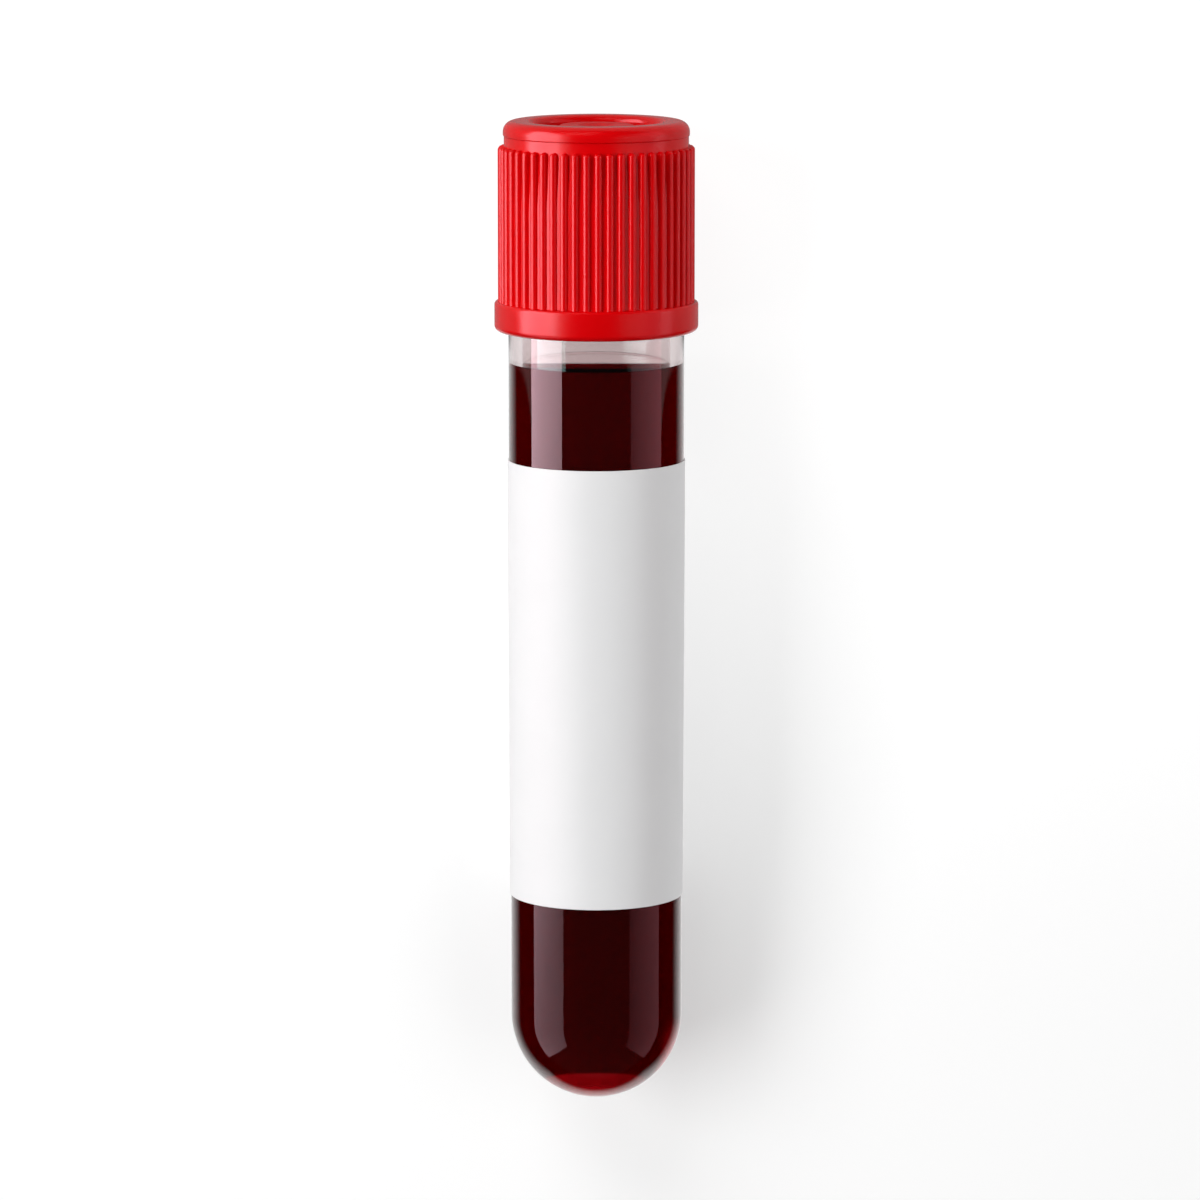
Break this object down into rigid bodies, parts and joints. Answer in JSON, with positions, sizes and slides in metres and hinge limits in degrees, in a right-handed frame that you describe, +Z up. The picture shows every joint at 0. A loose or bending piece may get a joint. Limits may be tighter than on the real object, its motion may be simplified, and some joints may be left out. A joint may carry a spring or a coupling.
{
  "type": "blood collection tube",
  "caption": "Round-bottomed clear plastic tube lying on its side, part filled with blood, with a plain white label and a red ribbed pull-off closure holding a rubber stopper",
  "frame": {"origin": "centre of the bounding box on the floor the tube lies on", "axes": "+Z up, +Y along the lying tube towards the closure, +X across it"},
  "size_m": [0.015, 0.0736, 0.0151],
  "materials": {
    "tube": "clear polished",
    "blood": "liquid",
    "label": "satin coated",
    "cap_shield": "semi-gloss",
    "stopper": "satin"
  },
  "bodies": {
    "tube": {"tube": "tube", "blood": "blood", "label": "label"},
    "closure": {"cap_shield": "cap_shield", "stopper": "stopper"}
  },
  "joints": [
    {"name": "pull_off", "type": "slide", "parent": "tube", "child": "closure", "axis": [0, 0.9998, 0.0219], "range_m": [0, 0.016]}
  ]
}
